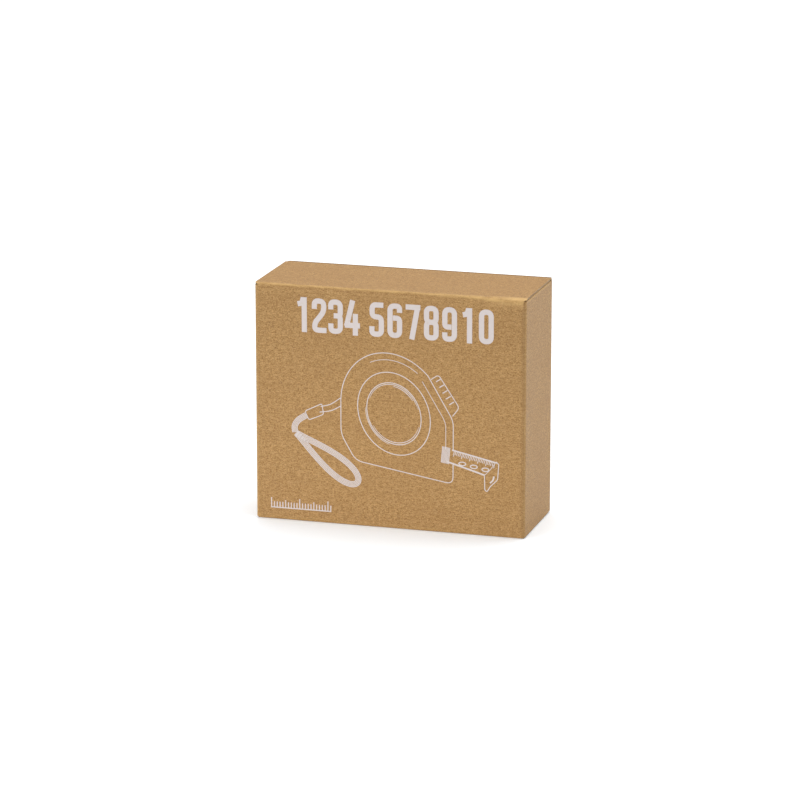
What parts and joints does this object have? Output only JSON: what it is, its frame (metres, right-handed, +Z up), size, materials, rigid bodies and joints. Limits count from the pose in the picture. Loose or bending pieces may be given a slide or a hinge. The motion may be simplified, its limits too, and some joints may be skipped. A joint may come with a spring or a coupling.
{
  "type": "boxed tape measure",
  "caption": "Folded kraft board carton with a hinged tuck lid, holding a pocket tape measure with a sprung steel blade, sliding end hook, thumb lock and wrist strap.",
  "frame": {"origin": "middle of the carton's base, on the surface that it stands on", "axes": "+X to the right along the printed face, +Y from the printed face to the back, +Z up"},
  "size_m": [0.094, 0.0354, 0.082],
  "materials": {
    "kraft_board": "uncoated recycled fibre board with small flecks",
    "case_plastic": "charcoal ABS, fine spark texture",
    "ring_plastic": "light grey ABS, satin",
    "label_paper": "white paper label",
    "grip_rubber": "black moulded rubber",
    "lock_plastic": "black acetal, satin",
    "spool_plastic": "natural white polypropylene",
    "spring_steel": "blued spring steel",
    "blade_steel": "yellow lacquer with black graduations",
    "hook_steel": "nickel plated",
    "rivet_brass": "brushed",
    "screw_steel": "black zinc",
    "webbing": "black woven polyester"
  },
  "bodies": {
    "carton": {"front_panel": "kraft_board", "back_panel": "kraft_board", "left_panel": "kraft_board", "right_panel": "kraft_board", "glue_flap": "kraft_board", "bottom_panel": "kraft_board", "bottom_inner_flap": "kraft_board", "bottom_left_dust_flap": "kraft_board", "bottom_right_dust_flap": "kraft_board"},
    "lid": {"lid_fold": "kraft_board", "lid_panel": "kraft_board"},
    "lid_tuck": {"tuck_fold": "kraft_board", "lid_tuck_flap": "kraft_board"},
    "left_dust": {"left_dust_fold": "kraft_board", "left_dust_flap": "kraft_board"},
    "right_dust": {"right_dust_fold": "kraft_board", "right_dust_flap": "kraft_board"},
    "tape_measure": {"case_front_shell": "case_plastic", "case_back_shell": "case_plastic", "front_side_ring": "ring_plastic", "back_side_ring": "ring_plastic", "front_label_disc": "label_paper", "back_label_disc": "label_paper", "case_screws": "screw_steel", "centre_post": "hook_steel", "mouth_bumper": "grip_rubber", "blade_guide": "spool_plastic", "grip_band": "grip_rubber", "strap_pin": "hook_steel", "strap_neck": "webbing", "strap_sleeve": "lock_plastic", "wrist_strap": "webbing"},
    "spool": {"spool_drum": "spool_plastic", "spool_cover": "spool_plastic", "mainspring": "spring_steel", "wound_blade": "blade_steel"},
    "blade": {"blade": "blade_steel", "hook_rivets": "rivet_brass"},
    "hook": {"end_hook": "hook_steel"},
    "lock": {"lock_button": "lock_plastic", "lock_brake_arm": "spool_plastic"}
  },
  "joints": [
    {"name": "tape_lift", "type": "slide", "parent": "carton", "child": "tape_measure", "axis": [0, 0, 1], "range_m": [0, 0.05]},
    {"name": "lid_hinge", "type": "hinge", "parent": "carton", "child": "lid", "pos_m": [0, -0.0167, 0.081], "axis": [1, 0, 0], "range_deg": [0, 180], "deforming": ["lid_fold"]},
    {"name": "lid_tuck_crease", "type": "hinge", "parent": "lid", "child": "lid_tuck", "pos_m": [0, 0.01595, 0.081], "axis": [-1, 0, 0], "range_deg": [0, 27], "deforming": ["tuck_fold"]},
    {"name": "left_dust_hinge", "type": "hinge", "parent": "carton", "child": "left_dust", "pos_m": [-0.0465, 0, 0.08075], "axis": [0, -1, 0], "range_deg": [0, 90], "deforming": ["left_dust_fold"]},
    {"name": "right_dust_hinge", "type": "hinge", "parent": "carton", "child": "right_dust", "pos_m": [0.0465, 0, 0.08075], "axis": [0, 1, 0], "range_deg": [0, 90], "deforming": ["right_dust_fold"]},
    {"name": "blade_slide", "type": "slide", "parent": "tape_measure", "child": "blade", "axis": [1, 0, 0], "range_m": [0, 0.012], "stiffness_N_per_m": 15, "springref_m": -0.1},
    {"name": "spool_spin", "type": "hinge", "parent": "tape_measure", "child": "spool", "pos_m": [-0.004, 0, 0.0368], "axis": [0, 1, 0], "range_deg": [-35, 1]},
    {"name": "hook_float", "type": "slide", "parent": "blade", "child": "hook", "axis": [1, 0, 0], "range_m": [0, 0.0008]},
    {"name": "lock_slide", "type": "hinge", "parent": "tape_measure", "child": "lock", "pos_m": [-0.004, 0, 0.0368], "axis": [0, 1, 0], "range_deg": [0, 7]}
  ],
  "couplings": [
    {"joint": "lid_hinge", "follows": "tape_lift", "rad_per_m": 62.5},
    {"joint": "lid_tuck_crease", "follows": "tape_lift", "rad_per_m": 9.375},
    {"joint": "left_dust_hinge", "follows": "tape_lift", "rad_per_m": 31.25},
    {"joint": "right_dust_hinge", "follows": "tape_lift", "rad_per_m": 31.25},
    {"joint": "spool_spin", "follows": "blade_slide", "rad_per_m": -50}
  ]
}
